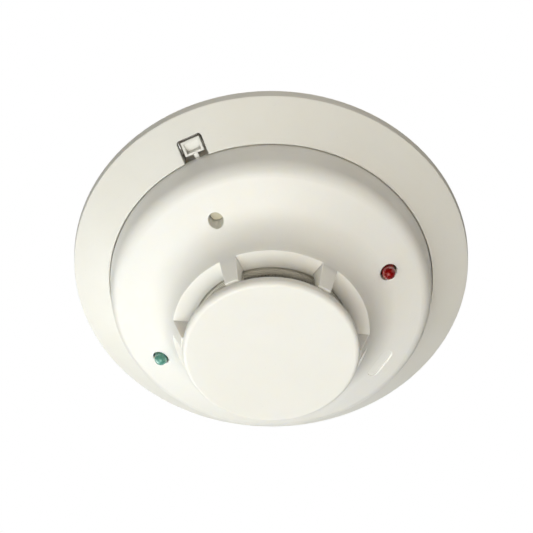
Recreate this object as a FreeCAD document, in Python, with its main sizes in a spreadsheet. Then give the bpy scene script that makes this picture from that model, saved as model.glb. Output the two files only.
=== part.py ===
import FreeCAD, Part
import math
import os
import Sketcher

# A ceiling heat detector that plugs into a flanged base.  The ceiling is the plane z = 0, the
# object hangs below it, and the release lever is on the -Y side.  Every "depth" is measured
# down from the ceiling, so a depth appears as a negative z.

DIMENSIONS = (
    ("flange_dia", 155.0, "base: outside diameter"),
    ("overall_depth", 51.0, "ceiling to the face of the cap"),
    ("rim_band", 3.3, "base: straight edge of the flange"),
    ("rim_draft", 0.65, "base: draft of that edge"),
    ("rim_round", 0.5, "base: round on the front of that edge"),
    ("bore_dia", 124.2, "base: bore that takes the head"),
    ("seam_depth", 11.2, "base: front edge of the bore"),
    ("running_gap", 0.35, "radial gap between head and base"),
    ("wall", 2.2, "moulded wall thickness"),
    ("deck", 2.4, "base: thickness of the mounting deck"),
    ("wire_hole_dia", 38.0, "base: opening for the field wiring"),
    ("stiffener_thick", 1.4, "base: rib behind the flange"),
    ("stiffener_count", 16.0, "base: ribs behind the flange"),
    ("stiffener_back", 0.6, "base: those ribs, set back from the ceiling"),
    ("screw_slot_width", 4.4, "base: width of the mounting slots"),
    ("near_slot_spacing", 65.0, "base: slots on X for 60 to 70 mm boxes"),
    ("near_slot_length", 14.4, "base: end to end"),
    ("far_slot_spacing", 85.8, "base: slots on Y for 83 to 89 mm boxes"),
    ("far_slot_length", 7.6, "base: end to end"),
    ("lug_count", 3.0, "bayonet lugs"),
    ("lug_arc", 18.0, "bayonet lug, in degrees"),
    ("lug_reach", 3.0, "base lug, inwards from the bore"),
    ("lug_depth", 6.8, "base lug, its ceiling side"),
    ("lug_thick", 1.7, "base lug"),
    ("stop_arc", 2.5, "stop at the end of a base lug, in degrees"),
    ("stop_gap", 0.45, "from the lug to its stop, in degrees"),
    ("tab_depth", 4.6, "head tab, its ceiling side"),
    ("tab_thick", 1.8, "head tab"),
    ("skirt_depth", 9.0, "head: top edge of the visible skirt"),
    ("contact_count", 4.0, "terminals and contacts"),
    ("terminal_ring_dia", 92.0, "circle of the terminal screws"),
    ("boss_height", 1.0, "terminal boss above the deck"),
    ("pilot_floor", 0.7, "deck left behind a terminal's pilot hole"),
    ("fence_gap", 0.3, "fence beside a terminal, from the clamp"),
    ("fence_thick", 1.2, "fence beside a terminal"),
    ("fence_width", 10.0, "fence beside a terminal"),
    ("fence_rise", 2.0, "fence beside a terminal, above its boss"),
    ("strip_thick", 0.6, "contact strip"),
    ("strip_width", 7.0, "contact strip"),
    ("strip_tail", 4.0, "contact strip, outwards from its screw"),
    ("strip_root", 4.5, "contact strip, inwards from its screw to the first bend"),
    ("strip_crest", 10.0, "contact strip, its crest from the screw"),
    ("strip_reach", 14.0, "contact strip, its tip from the screw"),
    ("strip_hook", 2.2, "contact strip, rise of its tip above the crest"),
    ("root_bend", 1.6, "contact strip, outer radius of the first bend"),
    ("crest_bend", 2.0, "contact strip, outer radius of the crest"),
    ("wipe_gap", 0.3, "contact strip, short of the blade"),
    ("clamp_side", 8.0, "square terminal clamp"),
    ("clamp_thick", 1.0, "square terminal clamp"),
    ("terminal_head_dia", 6.8, "terminal screw head"),
    ("terminal_head_height", 2.0, "terminal screw head"),
    ("terminal_shank_dia", 3.2, "terminal screw"),
    ("terminal_shank_length", 3.5, "terminal screw, beyond its head"),
    ("terminal_slot_length", 5.2, "driver slot of a terminal screw"),
    ("driver_slot_width", 0.9, "driver slots"),
    ("driver_slot_sink", 1.1, "driver slots"),
    ("screw_fit", 0.3, "how much wider a hole is than its screw"),
    ("window_width", 9.7, "window for the release lever"),
    ("window_reach", 69.5, "window, its outer edge from the axis"),
    ("window_depth", 3.6, "window, its ceiling side"),
    ("window_round", 1.2, "window, its outer corners"),
    ("pad_width", 7.2, "release pad"),
    ("pad_inner", 63.5, "release pad, inner edge from the axis"),
    ("pad_outer", 68.4, "release pad, outer edge from the axis"),
    ("pad_recess", 1.0, "release pad below the flange"),
    ("pad_back", 5.2, "release pad, depth of its back"),
    ("pad_frame", 0.85, "release pad, raised frame round its dish"),
    ("arm_root", 1.2, "lever arm, how far it covers the pad's back"),
    ("arm_width", 5.6, "lever arm"),
    ("arm_front", 1.1, "lever arm at its hub, in front of the pivot"),
    ("arm_back", 0.6, "lever arm at its hub, behind the pivot"),
    ("tooth_width", 1.6, "lever tooth"),
    ("tooth_thick", 1.4, "lever tooth"),
    ("tooth_gap", 0.4, "lever tooth, above the head's skirt"),
    ("seat_thick", 1.2, "base: floor behind the lever, the seat of its spring"),
    ("seat_width", 12.0, "base: that floor"),
    ("spring_inset", 2.4, "lever spring, from the pad's outer edge"),
    ("spring_dia", 2.0, "lever spring, centre of the wire to centre"),
    ("spring_wire_dia", 0.4, "lever spring"),
    ("spring_turns", 4.0, "lever spring"),
    ("pivot_radius", 71.5, "lever pivot from the axis"),
    ("pivot_depth", 1.9, "lever pivot"),
    ("pivot_dia", 1.5, "lever pivot pin"),
    ("pin_fit", 0.1, "how much wider the lever's bore is than its pin"),
    ("ear_gap", 0.5, "ear for the pivot pin, from the lever"),
    ("ear_thick", 1.6, "ear for the pivot pin"),
    ("ear_length", 3.4, "ear for the pivot pin"),
    ("ear_back", 0.3, "ear for the pivot pin, set back from the ceiling"),
    ("lever_hub_dia", 3.0, "lever hub"),
    ("tooth_tip", 60.7, "lever tooth from the axis"),
    ("shoulder_dia", 119.06, "head: sharp corner under the shoulder"),
    ("shoulder_depth", 22.77, "head: the same corner"),
    ("shoulder_round", 6.5, "head: shoulder radius"),
    ("cove_dia", 78.1, "head: sharp corner under the cove"),
    ("cove_depth", 29.53, "head: the same corner"),
    ("cove_round", 16.0, "head: cove radius"),
    ("neck_depth", 38.2, "head: the land around the inlet"),
    ("neck_bore_dia", 56.6, "head: bore for the sensor cage"),
    ("neck_back_depth", 26.0, "head: ceiling end of that bore's tube"),
    ("neck_wall", 1.8, "head: wall of that tube"),
    ("land_thick", 2.0, "head: the land"),
    ("land_step", 0.3, "head: the land's inner ring, set back from the land"),
    ("rib_count", 6.0, "ribs that carry the cap"),
    ("rib_width", 6.2, "rib at the land"),
    ("rib_tip_width", 4.9, "rib at the cap"),
    ("rib_tip_dia", 63.4, "outside of the ribs at the cap"),
    ("rib_inner_dia", 59.4, "inside of the ribs and of the land"),
    ("rib_foot", 0.35, "foot of a rib that is moulded with the land"),
    ("cap_dia", 62.0, "cap"),
    ("cap_edge", 3.7, "cap: height of its edge"),
    ("cap_plate", 2.0, "cap: thickness of its plate"),
    ("cap_round", 1.8, "cap: rounded front edge"),
    ("cap_gap", 0.35, "gap between the ribs and the cap"),
    ("web_thick", 1.2, "ribs inside the cap and on the chassis"),
    ("web_rise", 1.5, "ribs inside the cap"),
    ("cage_wall_dia", 54.8, "sensor cage: outside of its wall"),
    ("cage_wall", 0.9, "sensor cage: wall"),
    ("cage_plate_depth", 34.0, "sensor cage: ceiling side of its plate"),
    ("cage_plate", 1.5, "sensor cage: thickness of its plate and of its foot"),
    ("cage_lip", 0.1, "sensor cage: its flange, proud of the land"),
    ("cage_sill", 0.7, "sensor cage: wall between the foot and the windows"),
    ("cage_lintel", 1.0, "sensor cage: wall between the flange and the windows"),
    ("cage_window_count", 6.0, "sensor cage: windows"),
    ("cage_window_arc", 51.0, "sensor cage: window, in degrees"),
    ("spigot_dia", 48.0, "cap: bayonet spigot"),
    ("spigot_wall", 1.6, "cap: bayonet spigot"),
    ("hook_dia", 51.8, "cap: bayonet hooks"),
    ("hook_thick", 1.5, "cap: bayonet hooks"),
    ("hook_arc", 20.0, "cap: bayonet hook, in degrees"),
    ("notch_arc", 26.0, "sensor cage: notch that lets a hook in, in degrees"),
    ("screen_thick", 0.4, "insect screen"),
    ("chassis_depth", 8.4, "chassis plate: ceiling side"),
    ("chassis_plate", 2.0, "chassis plate"),
    ("board_dia", 101.0, "circuit board"),
    ("board_depth", 12.5, "circuit board: ceiling side"),
    ("board_thick", 1.6, "circuit board"),
    ("boss_ring_dia", 108.0, "circle of the chassis screws"),
    ("boss_count", 3.0, "chassis screws, and board stand-offs"),
    ("boss_dia", 5.4, "boss for a chassis screw"),
    ("chassis_screw_dia", 2.9, "chassis screw shank"),
    ("chassis_screw_length", 8.5, "chassis screw shank"),
    ("chassis_head_dia", 5.0, "chassis screw head"),
    ("chassis_head_height", 1.9, "chassis screw head"),
    ("chassis_slot_length", 3.6, "driver slot of a chassis screw"),
    ("lamp_radius", 46.4, "lamp from the axis"),
    ("lamp_dia", 5.0, "lamp"),
    ("lamp_hole_dia", 6.1, "hole for a lamp"),
    ("lamp_tip_depth", 30.0, "tip of a lamp"),
    ("lamp_body", 8.4, "lamp: flange to tip"),
    ("lamp_flange", 0.4, "lamp: flange, beyond its side"),
    ("lamp_flange_thick", 1.0, "lamp: flange"),
    ("spacer_dia", 5.6, "sleeve under a lamp"),
    ("button_radius", 45.2, "test button from the axis"),
    ("button_hole_dia", 5.3, "hole for the test button"),
    ("button_dia", 4.5, "test button"),
    ("button_face_depth", 23.0, "test button: face, recessed in its hole"),
    ("button_back_depth", 18.9, "test button: back, on the switch key"),
    ("button_travel", 1.2, "test button"),
    ("collar_dia", 6.7, "test button: collar"),
    ("collar_thick", 1.0, "test button: collar"),
    ("guide_wall", 1.2, "head: wall of the button's guide tube"),
    ("key_dia", 3.5, "switch key"),
    ("key_length", 2.1, "switch key"),
    ("key_fit", 0.2, "how much wider the switch's hollow is than its key"),
    ("switch_depth", 17.3, "switch: face"),
    ("switch_side", 6.0, "switch: square body"),
    ("pocket_radius", 47.4, "finger mark from the axis"),
    ("pocket_angle", 53.3, "finger mark, degrees from +X"),
    ("pocket_length", 13.6, "finger mark: end to end"),
    ("pocket_width", 4.6, "finger mark"),
    ("pocket_sink", 0.55, "finger mark: depth"),
    ("post_dia", 8.0, "sensor post at the circuit board"),
    ("post_tip_dia", 4.8, "sensor post: tip"),
    ("post_tip_depth", 39.8, "sensor post: tip"),
    ("stem_dia", 1.7, "thermistor stem"),
    ("bead_dia", 2.4, "thermistor bead"),
    ("bead_depth", 43.2, "thermistor bead: tip"),
    ("bead_length", 2.0, "thermistor bead: its round body"),
    ("bead_shoulder", 1.0, "thermistor bead: cone up to its stem"),
    ("edge_round", 0.25, "small rounds on moulded edges"),
    ("lip_round", 0.4, "larger rounds: bore of the base, lip of the land, lever, cap"),
    ("close_fit", 0.05, "gap between pieces that don't move"),
    ("relief_inner_dia", 102.0, "base: relief ring on the ceiling side"),
    ("relief_outer_dia", 120.0, "base: relief ring, outside"),
    ("relief_sink", 0.8, "base: relief ring, depth"),
    ("mark_ring_dia", 50.0, "base: circle of the ejector marks"),
    ("mark_dia", 5.0, "ejector mark"),
    ("mark_sink", 0.3, "ejector mark, depth"),
    ("mark_count", 8.0, "ejector marks"),
    ("blade_inner", 31.0, "contact blade, inner edge"),
    ("blade_outer", 40.5, "contact blade, outer edge"),
    ("blade_lead", 13.0, "contact blade, how far it leads its spring"),
    ("blade_trail", 4.5, "contact blade, the other way"),
    ("pin_along", 36.0, "contact pin, out along its contact's radius"),
    ("pin_across", 9.5, "contact pin, across that radius"),
    ("pin_dia", 2.4, "contact pin"),
    ("pin_head_dia", 4.4, "contact pin head"),
    ("pin_head_height", 0.6, "contact pin head"),
    ("pin_tail", 0.8, "contact pin, beyond the circuit board"),
    ("stand_radius", 38.0, "board stand-off from the axis"),
    ("stand_dia", 5.0, "board stand-off"),
    ("hub_dia", 25.0, "chassis: ring rib on its ceiling side"),
    ("hub_rise", 0.5, "chassis: height of the ribs there"),
    ("gate_dia", 5.0, "chassis: disc at the moulding gate"),
    ("bite", 0.5, "how far a feature reaches into the solid that it joins"),
    ("lead_half_pitch", 1.27, "lamp leads, from the lamp's axis"),
    ("lead_width", 0.5, "lamp lead"),
    ("lead_tail", 0.6, "lamp lead, beyond the circuit board"),
    ("lead_hole_dia", 0.9, "hole for a lamp lead"),
)

doc = FreeCAD.newDocument("heat_detector")
size = doc.addObject("Spreadsheet::Sheet", "size")
for row, (alias, number, note) in enumerate(DIMENSIONS, start=1):
    size.set(f"A{row}", note)
    size.set(f"B{row}", str(number))
    size.setAlias(f"B{row}", alias)
doc.recompute()

SUBPARTS = []


# ---------------------------------------------------------------- drawing helpers

def value(expression):
    """What an expression in the sheet's names comes to now."""
    return float(size.evalExpression(expression))


def keep(piece, label):
    """Give a finished sub-part its name."""
    piece.Label = label
    SUBPARTS.append(piece)
    return piece


def new_body(label):
    return keep(doc.addObject("PartDesign::Body", label), label)


def new_sketch(body, plane, height="0", turn="0"):
    """A sketch on a plane of the body: XY_Plane at a height, or an upright one turned about Z."""
    sketch = body.newObject("Sketcher::SketchObject", body.Name + "_sketch")
    support = next(item for item in body.Origin.OriginFeatures if item.Role == plane)
    sketch.AttachmentSupport = [(support, "")]
    sketch.MapMode = "FlatFace"
    turn_axis = FreeCAD.Vector(0, 0, 1) if plane == "XY_Plane" else FreeCAD.Vector(0, 1, 0)
    sketch.AttachmentOffset = FreeCAD.Placement(
        FreeCAD.Vector(0, 0, value(height)), FreeCAD.Rotation(turn_axis, value(turn)))
    sketch.setExpression("AttachmentOffset.Base.z", height)
    sketch.setExpression("AttachmentOffset.Rotation.Angle", turn)
    return sketch


def bind(sketch, kind, *where, to):
    """Add a dimension to the sketch and bind it to an expression."""
    index = sketch.addConstraint(Sketcher.Constraint(kind, *where, value(to)))
    sketch.setExpression(f"Constraints[{index}]", to)


def pin_point(sketch, geometry, end, x, y):
    """Fix a point of the sketch at two expressions."""
    for kind, axis, expression in (("DistanceX", -2, x), ("DistanceY", -1, y)):
        if expression == "0":
            sketch.addConstraint(Sketcher.Constraint("PointOnObject", geometry, end, axis))
        else:
            bind(sketch, kind, -1, 1, geometry, end, to=expression)


def outline(sketch, corners):
    """A closed outline; a corner is (x, y), or (x, y, radius) where it is rounded."""
    points = [FreeCAD.Vector(value(c[0]), value(c[1]), 0) for c in corners]
    count = len(points)
    runs = []
    arcs = {}
    for i, corner in enumerate(corners):
        arriving = (points[i] - points[i - 1]).normalize()
        leaving = (points[(i + 1) % count] - points[i]).normalize()
        if len(corner) == 2:
            runs.append((points[i], points[i]))
            continue
        radius = value(corner[2])
        turn = arriving.getAngle(leaving)
        reach = radius * math.tan(turn / 2)
        start = points[i] - arriving * reach
        end = points[i] + leaving * reach
        runs.append((start, end))
        left_turn = arriving.cross(leaving).z > 0
        middle = (leaving - arriving).normalize()
        centre = points[i] + middle * (radius / math.cos(turn / 2))
        first, last = (start, end) if left_turn else (end, start)
        angles = [math.atan2((p - centre).y, (p - centre).x) for p in (first, last)]
        circle = Part.Circle(centre, FreeCAD.Vector(0, 0, 1), radius)
        arcs[i] = (Part.ArcOfCircle(circle, *angles), (1, 2) if left_turn else (2, 1))
    lines = []
    for i in range(count):
        segment = Part.LineSegment(runs[i][1], runs[(i + 1) % count][0])
        lines.append(sketch.addGeometry(segment, False))
    for i, corner in enumerate(corners):
        before, after = lines[i - 1], lines[i]
        if i not in arcs:
            sketch.addConstraint(Sketcher.Constraint("Coincident", before, 2, after, 1))
            pin_point(sketch, after, 1, corner[0], corner[1])
            continue
        arc_shape, (first, last) = arcs[i]
        arc = sketch.addGeometry(arc_shape, False)
        mark = sketch.addGeometry(Part.Point(points[i]), True)
        sketch.addConstraint(Sketcher.Constraint("Tangent", before, 2, arc, first))
        sketch.addConstraint(Sketcher.Constraint("Tangent", arc, last, after, 1))
        sketch.addConstraint(Sketcher.Constraint("PointOnObject", mark, 1, before))
        sketch.addConstraint(Sketcher.Constraint("PointOnObject", mark, 1, after))
        pin_point(sketch, mark, 1, corner[0], corner[1])
        bind(sketch, "Radius", arc, to=corner[2])


def box_outline(sketch, left, right, bottom, top):
    outline(sketch, [(left, bottom), (right, bottom), (right, top), (left, top)])


def round_outline(sketch, x, y, diameter):
    circle = Part.Circle(FreeCAD.Vector(value(x), value(y), 0), FreeCAD.Vector(0, 0, 1),
                         value(diameter) / 2)
    index = sketch.addGeometry(circle, False)
    pin_point(sketch, index, 3, x, y)
    bind(sketch, "Diameter", index, to=diameter)


def slot_outline(sketch, x, y, length, width, along_y=False):
    """A slot with round ends, centred on x, y."""
    reach = f"(({length}) - ({width})) / 2"
    half_width = value(width) / 2
    step = FreeCAD.Vector(0, 1, 0) if along_y else FreeCAD.Vector(1, 0, 0)
    side = FreeCAD.Vector(-step.y, step.x, 0) * half_width
    middle = FreeCAD.Vector(value(x), value(y), 0)
    ends = (middle + step * value(reach), middle - step * value(reach))
    base_angle = math.pi / 2 if along_y else 0.0
    arcs = []
    for end, turn in zip(ends, (-math.pi / 2, math.pi / 2)):
        circle = Part.Circle(end, FreeCAD.Vector(0, 0, 1), half_width)
        start = base_angle + turn
        arcs.append(sketch.addGeometry(Part.ArcOfCircle(circle, start, start + math.pi), False))
    upper = sketch.addGeometry(Part.LineSegment(ends[0] + side, ends[1] + side), False)
    lower = sketch.addGeometry(Part.LineSegment(ends[1] - side, ends[0] - side), False)
    for line, before, after in ((upper, arcs[0], arcs[1]), (lower, arcs[1], arcs[0])):
        sketch.addConstraint(Sketcher.Constraint("Tangent", before, 2, line, 1))
        sketch.addConstraint(Sketcher.Constraint("Tangent", line, 2, after, 1))
    for arc, sign in zip(arcs, ("+", "-")):
        along = f"({y if along_y else x}) {sign} {reach}"
        where = (x, along) if along_y else (along, y)
        pin_point(sketch, arc, 3, *where)
    bind(sketch, "Radius", arcs[0], to=f"({width}) / 2")


# ---------------------------------------------------------------- feature helpers

def add_feature(body, kind, sketch, **expressions):
    feature = body.newObject("PartDesign::" + kind, body.Name + "_" + kind.lower())
    feature.Profile = sketch
    for name, expression in expressions.items():
        feature.setExpression(name, expression)
    return feature


def turn_feature(body, kind, sketch, arc=None):
    """A Revolution or a Groove about the sketch's upright axis: full, or a centred arc."""
    feature = add_feature(body, kind, sketch)
    feature.ReferenceAxis = (sketch, ["V_Axis"])
    if arc:
        feature.Midplane = True
        feature.setExpression("Angle", arc)
    else:
        feature.Angle = 360
    doc.recompute()
    return feature


def pad(body, sketch, length, down=False, centred=False):
    feature = add_feature(body, "Pad", sketch, Length=length)
    feature.Reversed = down
    if centred:
        feature.SideType = "Symmetric"
    doc.recompute()
    return feature


def pocket(body, sketch, length, up=False, centred=False):
    """Cut to a depth, down from the sketch or up; something must come away."""
    before = body.Shape.Volume
    feature = add_feature(body, "Pocket", sketch, Length=length)
    feature.Reversed = up
    if centred:
        feature.SideType = "Symmetric"
    doc.recompute()
    if not body.Shape.Volume < before:
        raise RuntimeError(f"{body.Label}: {feature.Name} cuts nothing")
    return feature


def repeat_around(body, features, count):
    pattern = body.newObject("PartDesign::PolarPattern", body.Name + "_pattern")
    pattern.Originals = features
    upright = next(item for item in body.Origin.OriginFeatures if item.Role == "Z_Axis")
    pattern.Axis = (upright, [""])
    pattern.Angle = 360
    pattern.setExpression("Occurrences", count)
    body.Tip = pattern
    doc.recompute()
    return pattern


def ring(body, corners, kind="Revolution", arc=None, turn="0"):
    """Turn an outline of (radius, z) corners about the body's Z axis."""
    sketch = new_sketch(body, "XZ_Plane", turn=turn)
    outline(sketch, corners)
    return turn_feature(body, kind, sketch, arc)


def ring_box(body, inner, outer, low, high, kind="Revolution", arc=None, turn="0"):
    corners = [(inner, low), (outer, low), (outer, high), (inner, high)]
    return ring(body, corners, kind, arc, turn)


def disc(body, x, y, diameter, low, length, turn="0", down=False):
    sketch = new_sketch(body, "XY_Plane", height=low, turn=turn)
    round_outline(sketch, x, y, diameter)
    return pad(body, sketch, length, down=down)


def drill(body, x, y, diameter, top, length, turn="0"):
    sketch = new_sketch(body, "XY_Plane", height=top, turn=turn)
    round_outline(sketch, x, y, diameter)
    return pocket(body, sketch, length)


def block(body, left, right, near, far, low, length, turn="0"):
    sketch = new_sketch(body, "XY_Plane", height=low, turn=turn)
    box_outline(sketch, left, right, near, far)
    return pad(body, sketch, length)


def ends_of(edge):
    """Radius and depth of an edge's ends."""
    return [(math.hypot(v.Point.x, v.Point.y), -v.Point.z) for v in edge.Vertexes]


def angle_of(edge):
    """Direction of an edge's middle about the Z axis, in degrees."""
    return math.degrees(math.atan2(edge.CenterOfMass.y, edge.CenterOfMass.x))


def round_edges(body, radius, wanted):
    """Round the edges that pass a test."""
    names = [f"Edge{i}" for i, edge in enumerate(body.Shape.Edges, start=1) if wanted(edge)]
    finished = body.Tip
    feature = body.newObject("PartDesign::Fillet", body.Name + "_fillet")
    feature.Base = (finished, names)
    feature.setExpression("Radius", radius)
    doc.recompute()
    return feature


# ---------------------------------------------------------------- shared expressions

BORE = "size.bore_dia / 2"
RIM = "size.flange_dia / 2"
RIM_FRONT = "(size.flange_dia / 2 - size.rim_draft)"
SLOPE = f"((size.seam_depth - size.rim_band) / ({RIM_FRONT} - {BORE}))"
SKIN = f"(size.wall / cos(atan({SLOPE})))"
HOLLOW_IN = f"({BORE} + size.wall)"
HOLLOW_OUT = f"({RIM} - size.wall)"
TERMINAL_R = "size.terminal_ring_dia / 2"
BOSS_TOP = "(size.deck + size.boss_height)"
CLAMP_FRONT = f"({BOSS_TOP} + size.strip_thick + size.clamp_thick)"
PIVOT_LENGTH = "(size.pad_width + 2 * (size.ear_gap + size.ear_thick))"
HEAD_R = "(size.bore_dia / 2 - size.running_gap)"
RING_OUT = "(size.bore_dia / 2 - size.lug_reach - size.running_gap)"
RING_IN = f"({RING_OUT} - size.wall)"
FACE_RISE = "((size.cove_depth - size.shoulder_depth) / ((size.shoulder_dia - size.cove_dia) / 2))"
FACE_WALL = f"(size.wall / cos(atan({FACE_RISE})))"
BOARD_FRONT = "(size.board_depth + size.board_thick)"
LAMP_BACK = "(size.lamp_tip_depth - size.lamp_body)"
CAP_BACK = "(size.overall_depth - size.cap_edge)"
RIB_TIP = f"({CAP_BACK} - size.cap_gap)"
NECK_TAPER = f"((size.cove_dia - size.rib_tip_dia) / 2 / ({RIB_TIP} - size.cove_depth))"
LAND_OUT = f"(size.rib_tip_dia / 2 + ({RIB_TIP} - size.neck_depth) * {NECK_TAPER})"
CAGE_INSIDE = "(size.cage_wall_dia / 2 - size.cage_wall)"
GUIDE_BACK = "(size.button_back_depth + size.collar_thick + size.running_gap)"
THROUGH = "size.overall_depth"
FRONT_TURN = "-90"
LUG_TURN = "-30"
CONTACT_TURN = "45"
BOSS_TURN = "90"
HOOK_TURN = "30"
STAND_TURN = "30"
CONTACT_PIN = ("size.pin_along", "-size.pin_across")
LEADS = ("+ size.lead_half_pitch", "- size.lead_half_pitch")
NEARLY = "0.98"  # a dome's radius stays under its half width, so that its outline closes


def flange_depth(radius):
    """Depth of the flange's front face at a radius."""
    return f"(size.rim_band + ({RIM_FRONT} - ({radius})) * {SLOPE})"


def face_depth(radius):
    """Depth of the head's sloping front face at a radius."""
    return f"(size.shoulder_depth + (size.shoulder_dia / 2 - ({radius})) * {FACE_RISE})"


def driver_slots(body, circle, length, height, turn, count):
    """A straight driver slot, cut from a height down, in each screw of a circle."""
    sketch = new_sketch(body, "XY_Plane", height=height, turn=turn)
    box_outline(sketch, f"{circle} - {length} / 2", f"{circle} + {length} / 2",
                "-size.driver_slot_width / 2", "size.driver_slot_width / 2")
    slot = pocket(body, sketch, "size.driver_slot_sink + size.bite")
    repeat_around(body, [slot], count)


# ---------------------------------------------------------------- the base

def mounting_base():
    body = new_body("mounting_base")
    ring(body, [("size.wire_hole_dia / 2", "0"), (RIM, "0", "size.edge_round"),
                (RIM_FRONT, "-size.rim_band", "size.rim_round"),
                (BORE, "-size.seam_depth", "size.lip_round"),
                (BORE, "-size.deck"), ("size.wire_hole_dia / 2", "-size.deck")])
    skin_in = f"-({flange_depth(HOLLOW_IN)} - {SKIN})"
    skin_out = f"-({flange_depth(HOLLOW_OUT)} - {SKIN})"
    ring(body, [(HOLLOW_IN, "0"), (HOLLOW_OUT, "0"), (HOLLOW_OUT, skin_out),
                (HOLLOW_IN, skin_in)], kind="Groove")
    stiffener = new_sketch(body, "XZ_Plane", turn="180 / size.stiffener_count")
    outline(stiffener, [(f"{HOLLOW_IN} - size.bite", "-size.stiffener_back"),
                        (f"{HOLLOW_OUT} + size.bite", "-size.stiffener_back"),
                        (f"{HOLLOW_OUT} + size.bite", f"{skin_out} - size.bite"),
                        (f"{HOLLOW_IN} - size.bite", f"{skin_in} - size.bite")])
    repeat_around(body, [pad(body, stiffener, "size.stiffener_thick", centred=True)],
                  "size.stiffener_count")
    base_back(body)
    base_bayonet(body)
    base_terminal_seats(body)
    base_screw_slots(body)
    base_lever_pocket(body)


def base_back(body):
    """The ceiling side of the deck: a shallow relief ring and the marks of the ejector pins."""
    inner = "size.relief_inner_dia / 2"
    outer = "size.relief_outer_dia / 2"
    ring(body, [(inner, "0"), (outer, "0"), (f"{outer} - size.relief_sink / 2", "-size.relief_sink"),
                (f"{inner} + size.relief_sink / 2", "-size.relief_sink")], kind="Groove")
    mark = drill(body, "size.mark_ring_dia / 2", "0", "size.mark_dia", "0", "size.mark_sink",
                 turn="180 / size.mark_count")
    repeat_around(body, [mark], "size.mark_count")


def base_bayonet(body):
    """Three lugs that carry the head, each with a stop at its end."""
    lug_in = f"{BORE} - size.lug_reach"
    lug_out = f"{BORE} + size.bite"
    lug_low = "-(size.lug_depth + size.lug_thick)"
    lug = ring_box(body, lug_in, lug_out, lug_low, "-size.lug_depth", arc="size.lug_arc",
                   turn=LUG_TURN)
    stop_turn = f"{LUG_TURN} + size.lug_arc / 2 + size.stop_gap + size.stop_arc / 2"
    stop = ring_box(body, lug_in, lug_out, lug_low, "-(size.deck - size.bite)",
                    arc="size.stop_arc", turn=stop_turn)
    repeat_around(body, [lug, stop], "size.lug_count")


def base_terminal_seats(body):
    """Bosses for the terminal screws, with blind pilot holes, and a fence outside each clamp."""
    boss = disc(body, TERMINAL_R, "0", "size.clamp_side", "-size.deck + size.bite",
                "size.boss_height + size.bite", turn=CONTACT_TURN, down=True)
    fence_in = f"{TERMINAL_R} + size.clamp_side / 2 + size.fence_gap"
    fence = block(body, fence_in, f"{fence_in} + size.fence_thick",
                  "-size.fence_width / 2", "size.fence_width / 2",
                  f"-({BOSS_TOP} + size.fence_rise)",
                  "size.fence_rise + size.boss_height + size.bite", turn=CONTACT_TURN)
    repeat_around(body, [boss, fence], "size.contact_count")
    pilot = new_sketch(body, "XY_Plane", height=f"-({BOSS_TOP} + size.bite)", turn=CONTACT_TURN)
    round_outline(pilot, TERMINAL_R, "0", "size.terminal_shank_dia")
    hole = pocket(body, pilot, f"{BOSS_TOP} + size.bite - size.pilot_floor", up=True)
    repeat_around(body, [hole], "size.contact_count")


def base_screw_slots(body):
    """Two pairs of slots that suit the common ceiling boxes."""
    sketch = new_sketch(body, "XY_Plane", height="size.bite")
    for side in ("", "-"):
        slot_outline(sketch, side + "size.near_slot_spacing / 2", "0",
                     "size.near_slot_length", "size.screw_slot_width")
        slot_outline(sketch, "0", side + "size.far_slot_spacing / 2",
                     "size.far_slot_length", "size.screw_slot_width", along_y=True)
    pocket(body, sketch, "size.deck + 2 * size.bite")


def base_lever_pocket(body):
    """The window in the flange, the floor behind it and the two ears for the lever's pin."""
    window = new_sketch(body, "XY_Plane", height="-size.window_depth")
    outline(window, [("-size.window_width / 2", f"-{BORE} + size.bite"),
                     ("size.window_width / 2", f"-{BORE} + size.bite"),
                     ("size.window_width / 2", "-size.window_reach", "size.window_round"),
                     ("-size.window_width / 2", "-size.window_reach", "size.window_round")])
    pocket(body, window, "size.seam_depth")
    seat = new_sketch(body, "XY_Plane", height="0")
    box_outline(seat, "-size.seat_width / 2", "size.seat_width / 2",
                "-size.window_reach", f"-{HOLLOW_IN} + size.bite")
    pad(body, seat, "size.seat_thick", down=True)
    ear_front = f"({flange_depth('size.pivot_radius')} - {SKIN} / 2)"
    for side in ("", "-"):
        ear = new_sketch(body, "XY_Plane", height="-size.ear_back")
        box_outline(ear, f"{side}(size.pad_width / 2 + size.ear_gap)", f"{side}{PIVOT_LENGTH} / 2",
                    "-(size.pivot_radius + size.ear_length / 2)",
                    "-(size.pivot_radius - size.ear_length / 2)")
        pad(body, ear, f"{ear_front} - size.ear_back", down=True)
    bore = new_sketch(body, "YZ_Plane")
    round_outline(bore, "-size.pivot_radius", "-size.pivot_depth", "size.pivot_dia")
    pocket(body, bore, f"{PIVOT_LENGTH} + 2 * size.bite", centred=True)


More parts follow.
